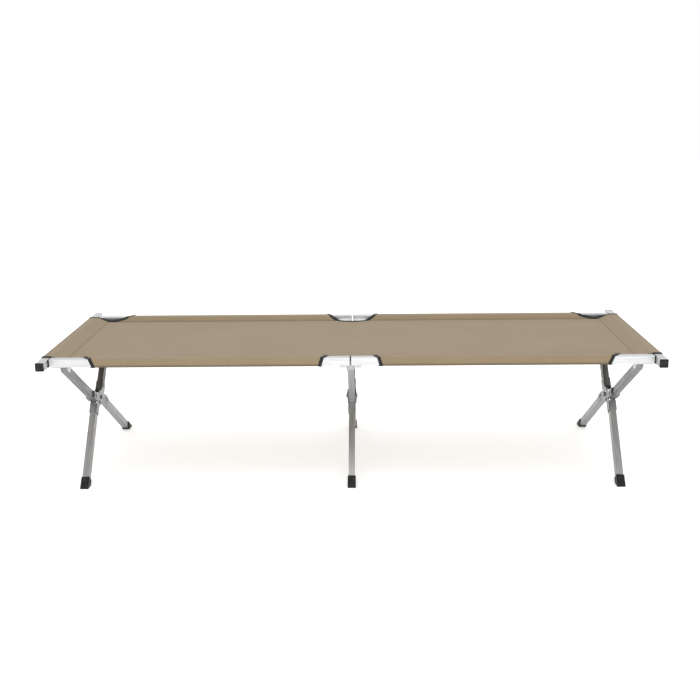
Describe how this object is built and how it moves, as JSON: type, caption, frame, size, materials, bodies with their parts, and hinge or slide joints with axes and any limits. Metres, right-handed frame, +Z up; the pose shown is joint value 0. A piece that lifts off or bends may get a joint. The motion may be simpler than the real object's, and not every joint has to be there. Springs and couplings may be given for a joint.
{
  "type": "folding cot",
  "caption": "Folding cot: khaki fabric stretched between jointed square-tube side rails and two end bars, on crossed scissor leg sets.",
  "frame": {"origin": "centre of the cot's footprint, on the floor", "axes": "+X along the cot's length, +Y from the front rail to the back rail, +Z up"},
  "size_m": [1.9026, 0.686, 0.4263],
  "materials": {
    "aluminium": "satin",
    "steel": "satin",
    "black_plastic": "matt moulded",
    "khaki_fabric": "plain woven polyester"
  },
  "bodies": {
    "front_rail": {"rail_front_left": "aluminium", "rail_front_right": "aluminium", "rail_plugs_front": "black_plastic", "hinge_channel_front": "steel", "hinge_pins_front": "steel", "bracket_front_left": "steel", "bracket_front_right": "steel", "bracket_pins_front": "steel", "panel": "khaki_fabric", "pocket_front": "khaki_fabric"},
    "leg_b_left": {"leg_b_upper_left": "aluminium", "leg_b_lower_left": "aluminium", "leg_b_plates_left": "steel", "leg_b_rivets_left": "steel", "foot_b_left": "black_plastic", "cross_bolt_left": "steel"},
    "leg_a_left": {"leg_a_upper_left": "aluminium", "leg_a_lower_left": "aluminium", "leg_a_plates_left": "steel", "leg_a_rivets_left": "steel", "foot_a_left": "black_plastic"},
    "leg_b_mid": {"leg_b_upper_mid": "aluminium", "leg_b_lower_mid": "aluminium", "leg_b_plates_mid": "steel", "leg_b_rivets_mid": "steel", "foot_b_mid": "black_plastic", "cross_bolt_mid": "steel"},
    "leg_a_mid": {"leg_a_upper_mid": "aluminium", "leg_a_lower_mid": "aluminium", "leg_a_plates_mid": "steel", "leg_a_rivets_mid": "steel", "foot_a_mid": "black_plastic"},
    "leg_b_right": {"leg_b_upper_right": "aluminium", "leg_b_lower_right": "aluminium", "leg_b_plates_right": "steel", "leg_b_rivets_right": "steel", "foot_b_right": "black_plastic", "cross_bolt_right": "steel"},
    "leg_a_right": {"leg_a_upper_right": "aluminium", "leg_a_lower_right": "aluminium", "leg_a_plates_right": "steel", "leg_a_rivets_right": "steel", "foot_a_right": "black_plastic"},
    "back_rail": {"rail_back_left": "aluminium", "rail_back_right": "aluminium", "rail_plugs_back": "black_plastic", "hinge_channel_back": "steel", "hinge_pins_back": "steel", "bracket_back_left": "steel", "bracket_back_right": "steel", "bracket_pins_back": "steel", "pocket_back": "khaki_fabric"},
    "end_bar_left": {"bar_left": "aluminium", "bar_caps_left": "black_plastic", "end_pocket_left": "khaki_fabric"},
    "end_bar_right": {"bar_right": "aluminium", "bar_caps_right": "black_plastic", "end_pocket_right": "khaki_fabric"}
  },
  "joints": [
    {"name": "fold", "type": "hinge", "parent": "front_rail", "child": "leg_b_mid", "pos_m": [0, -0.2575, 0.385], "axis": [-1, 0, 0], "range_deg": [0, 51], "deforming": ["panel", "end_pocket_left", "end_pocket_right"]},
    {"name": "cross_mid", "type": "hinge", "parent": "leg_b_mid", "child": "leg_a_mid", "pos_m": [0, 0, 0.21], "axis": [1, 0, 0], "range_deg": [0, 102]},
    {"name": "back_rail_on_leg", "type": "hinge", "parent": "leg_a_mid", "child": "back_rail", "pos_m": [0, 0.2575, 0.385], "axis": [-1, 0, 0], "range_deg": [0, 51]},
    {"name": "front_pivot_left", "type": "hinge", "parent": "front_rail", "child": "leg_b_left", "pos_m": [-0.88624, -0.2575, 0.38289], "axis": [-0.9945, 0, -0.1045], "range_deg": [0, 51]},
    {"name": "cross_left", "type": "hinge", "parent": "leg_b_left", "child": "leg_a_left", "pos_m": [-0.86795, 0, 0.20885], "axis": [0.9945, 0, 0.1045], "range_deg": [0, 102]},
    {"name": "pull_bar_left", "type": "slide", "parent": "front_rail", "child": "end_bar_left", "axis": [-1, 0, 0], "range_m": [0, 0.03]},
    {"name": "front_pivot_right", "type": "hinge", "parent": "front_rail", "child": "leg_b_right", "pos_m": [0.88624, -0.2575, 0.38289], "axis": [-0.9945, 0, 0.1045], "range_deg": [0, 51]},
    {"name": "cross_right", "type": "hinge", "parent": "leg_b_right", "child": "leg_a_right", "pos_m": [0.86795, 0, 0.20885], "axis": [0.9945, 0, -0.1045], "range_deg": [0, 102]},
    {"name": "pull_bar_right", "type": "slide", "parent": "front_rail", "child": "end_bar_right", "axis": [1, 0, 0], "range_m": [0, 0.03]}
  ],
  "couplings": [
    {"joint": "cross_mid", "follows": "fold", "ratio": 2},
    {"joint": "back_rail_on_leg", "follows": "fold", "ratio": 1},
    {"joint": "front_pivot_left", "follows": "fold", "ratio": 1},
    {"joint": "cross_left", "follows": "fold", "ratio": 2},
    {"joint": "front_pivot_right", "follows": "fold", "ratio": 1},
    {"joint": "cross_right", "follows": "fold", "ratio": 2}
  ]
}
